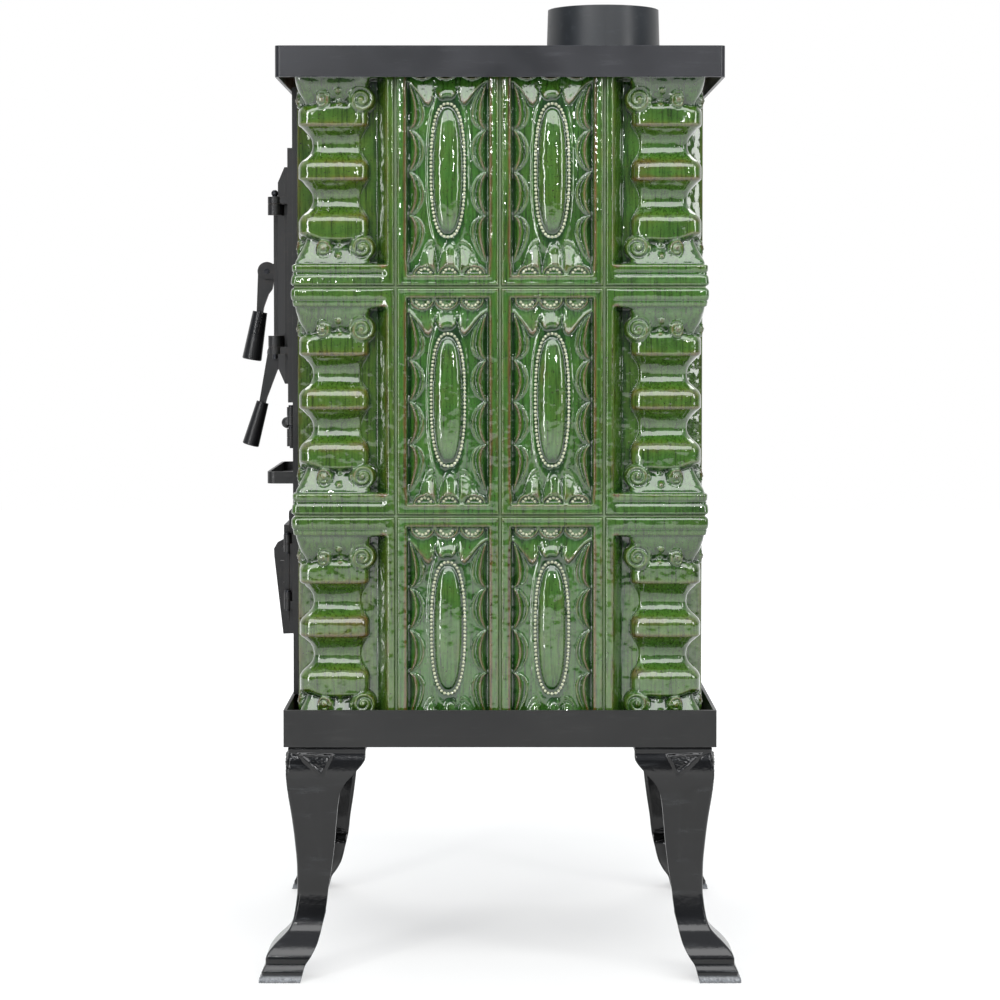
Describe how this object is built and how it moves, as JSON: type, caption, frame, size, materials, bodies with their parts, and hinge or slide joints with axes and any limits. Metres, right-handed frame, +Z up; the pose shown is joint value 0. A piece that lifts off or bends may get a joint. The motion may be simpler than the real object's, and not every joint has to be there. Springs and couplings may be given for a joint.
{
  "type": "tiled stove",
  "caption": "Free-standing square wood and coal stove clad in relief-glazed tiles, with a sheet top, base tray, cabriole legs, fire and ash doors and a top flue collar.",
  "frame": {"origin": "on the floor, in the middle of the stove's overall footprint, door handles included", "axes": "+Z up, -Y towards the doors, +X to the right of a person who faces the doors"},
  "size_m": [0.468, 0.5096, 0.959],
  "materials": {
    "green_glaze": "translucent green glaze over pressed clay",
    "joint_mortar": "pale green joint mortar",
    "stove_clay": "dry stove clay",
    "fire_brick": "fired fireclay",
    "baffle_board": "pressed vermiculite",
    "black_sheet": "satin heat-proof black paint",
    "flue_metal": "satin heat-proof black paint over cast metal",
    "leg_enamel": "gloss black paint over cast iron",
    "cast_iron": "matt black paint over cast iron",
    "grip_sleeve": "moulded black sleeve",
    "stove_glass": "ceramic glass",
    "seal_rope": "glass fibre rope",
    "pan_steel": "zinc coated sheet",
    "dark_steel": "blackened steel"
  },
  "bodies": {
    "stove": {"corner_tile_back_right_low": "green_glaze", "corner_tile_back_left_low": "green_glaze", "corner_tile_front_left_low": "green_glaze", "corner_tile_front_right_low": "green_glaze", "corner_tile_back_right_middle": "green_glaze", "corner_tile_back_left_middle": "green_glaze", "corner_tile_front_left_middle": "green_glaze", "corner_tile_front_right_middle": "green_glaze", "corner_tile_back_right_top": "green_glaze", "corner_tile_back_left_top": "green_glaze", "corner_tile_front_left_top": "green_glaze", "corner_tile_front_right_top": "green_glaze", "tiles_right_side_front": "green_glaze", "tiles_right_side_rear": "green_glaze", "tiles_back_right": "green_glaze", "tiles_back_left": "green_glaze", "tiles_left_side_rear": "green_glaze", "tiles_left_side_front": "green_glaze", "joint_mortar": "joint_mortar", "leg_back_right": "leg_enamel", "leg_back_left": "leg_enamel", "leg_front_left": "leg_enamel", "leg_front_right": "leg_enamel", "leg_bolts": "dark_steel", "base_tray": "black_sheet", "top_plate": "black_sheet", "flue_collar": "flue_metal", "clay_wall": "stove_clay", "base_slab": "fire_brick", "lining_right": "fire_brick", "lining_left": "fire_brick", "lining_back": "fire_brick", "lining_front": "fire_brick", "hearth_slab": "fire_brick", "fire_grate": "cast_iron", "baffle": "baffle_board", "cover_slab": "fire_brick", "plate_screws": "dark_steel", "fire_door_frame": "cast_iron", "fire_hinge_pins": "dark_steel", "front_plate": "black_sheet", "ember_tray": "black_sheet", "ash_door_frame": "cast_iron", "small_hinge_pins": "dark_steel"},
    "fire_door": {"fire_door": "cast_iron", "door_seal": "seal_rope", "door_glass": "stove_glass", "glass_frame": "cast_iron", "glass_screws": "dark_steel", "latch_pins": "dark_steel"},
    "latch": {"latch_lever": "cast_iron", "latch_grip": "grip_sleeve"},
    "lower_latch": {"lower_lever": "cast_iron", "lower_grip": "grip_sleeve"},
    "hatch": {"hatch": "cast_iron"},
    "ash_door": {"ash_door": "cast_iron", "ash_latch_pin": "dark_steel"},
    "air_slide": {"air_slide": "cast_iron"},
    "ash_latch": {"ash_latch": "cast_iron"},
    "ash_pan": {"ash_pan": "pan_steel"}
  },
  "joints": [
    {"name": "fire_door_swing", "type": "hinge", "parent": "stove", "child": "fire_door", "pos_m": [0.098, -0.20515, 0.6835], "axis": [0, 0, 1], "range_deg": [0, 110]},
    {"name": "latch_lift", "type": "hinge", "parent": "fire_door", "child": "latch", "pos_m": [-0.076, -0.22815, 0.6905], "axis": [-1, 0, 0], "range_deg": [0, 60]},
    {"name": "lower_latch_lift", "type": "hinge", "parent": "fire_door", "child": "lower_latch", "pos_m": [-0.076, -0.21815, 0.6035], "axis": [-1, 0, 0], "range_deg": [-12, 20]},
    {"name": "hatch_swing", "type": "hinge", "parent": "stove", "child": "hatch", "pos_m": [0.0606, -0.19205, 0.53], "axis": [0, 0, 1], "range_deg": [0, 100]},
    {"name": "ash_door_swing", "type": "hinge", "parent": "stove", "child": "ash_door", "pos_m": [0.098, -0.19315, 0.385], "axis": [0, 0, 1], "range_deg": [0, 120]},
    {"name": "ash_latch_lift", "type": "hinge", "parent": "ash_door", "child": "ash_latch", "pos_m": [-0.076, -0.20845, 0.391], "axis": [-1, 0, 0], "range_deg": [0, 50]},
    {"name": "air_slide_move", "type": "slide", "parent": "ash_door", "child": "air_slide", "axis": [-1, 0, 0], "range_m": [0, 0.009]},
    {"name": "ash_pan_slide", "type": "slide", "parent": "stove", "child": "ash_pan", "axis": [0, -1, 0], "range_m": [0, 0.16]}
  ],
  "couplings": [
    {"joint": "ash_pan_slide", "follows": "ash_door_swing", "m_per_rad": 0.075}
  ]
}
